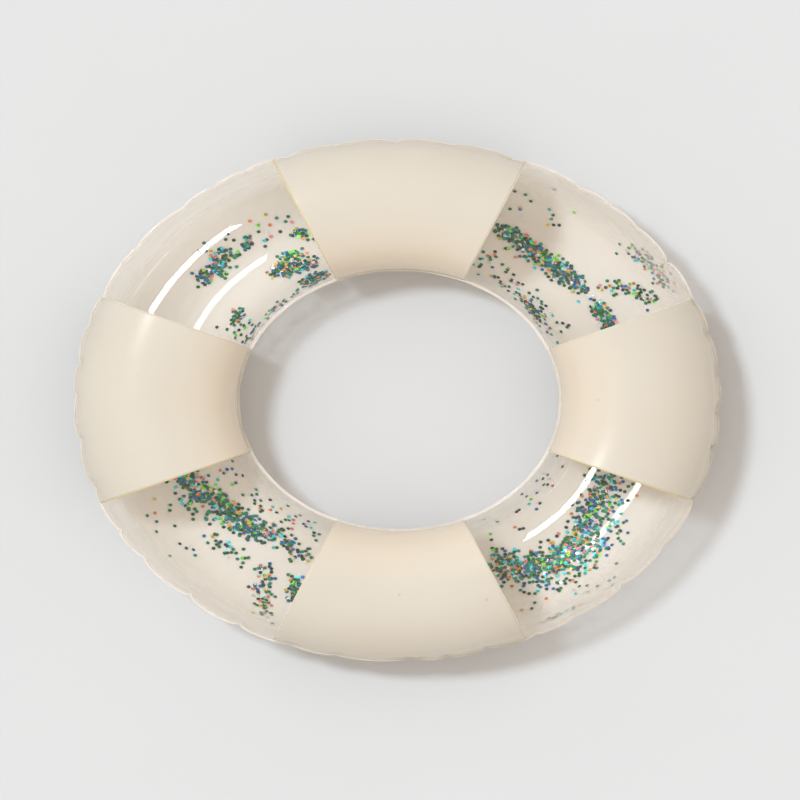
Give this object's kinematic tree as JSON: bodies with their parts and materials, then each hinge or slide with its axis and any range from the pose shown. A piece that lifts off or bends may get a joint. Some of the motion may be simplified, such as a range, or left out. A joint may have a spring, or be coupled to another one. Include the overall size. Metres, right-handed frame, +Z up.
{
  "type": "inflatable swim ring",
  "caption": "Inflatable swim ring of cream and clear vinyl sectors with loose holographic glitter sealed inside and a push-in air valve.",
  "frame": {"origin": "on the ring's axis, in the plane of the surface that the ring lies on", "axes": "+Z up along the ring's axis; -Y to the front, where the valve is; +X to the right"},
  "size_m": [0.8587, 0.86, 0.191],
  "materials": {
    "cream_vinyl": "satin opaque vinyl film",
    "clear_vinyl": "glossy clear vinyl film with a slight warm tint",
    "welded_edge": "satin welded vinyl, puckered",
    "glitter": "holographic hexagonal flakes",
    "valve_plastic": "soft translucent moulded vinyl"
  },
  "bodies": {
    "ring": {"upper_cream_right": "cream_vinyl", "lower_cream_right": "cream_vinyl", "upper_clear_back_right": "clear_vinyl", "lower_clear_back_right": "clear_vinyl", "upper_cream_back": "cream_vinyl", "lower_cream_back": "cream_vinyl", "upper_clear_back_left": "clear_vinyl", "lower_clear_back_left": "clear_vinyl", "upper_cream_left": "cream_vinyl", "lower_cream_left": "cream_vinyl", "upper_clear_front_left": "clear_vinyl", "lower_clear_front_left": "clear_vinyl", "upper_cream_front": "cream_vinyl", "lower_cream_front": "cream_vinyl", "upper_clear_front_right": "clear_vinyl", "lower_clear_front_right": "clear_vinyl", "outer_weld_seam": "welded_edge", "inner_weld_seam": "welded_edge", "glitter_back_right": "glitter", "glitter_back_left": "glitter", "glitter_front_left": "glitter", "glitter_front_right": "glitter", "valve_flange": "valve_plastic"},
    "stem": {"valve_stem": "valve_plastic"},
    "plug": {"valve_plug": "valve_plastic"},
    "flap": {"check_flap": "valve_plastic"}
  },
  "joints": [
    {"name": "valve_slide", "type": "slide", "parent": "ring", "child": "stem", "axis": [0, -0.8935, -0.449], "range_m": [0, 0.012]},
    {"name": "plug_hinge", "type": "hinge", "parent": "stem", "child": "plug", "pos_m": [0.0118, -0.41881, 0.05244], "axis": [0, -0.449, 0.8935], "range_deg": [0, 150]},
    {"name": "flap_hinge", "type": "hinge", "parent": "stem", "child": "flap", "pos_m": [0.0064, -0.39755, 0.06313], "axis": [0, 0.449, -0.8935], "range_deg": [0, 50], "stiffness_Nm_per_rad": 0.0004, "springref_deg": -8.59}
  ]
}
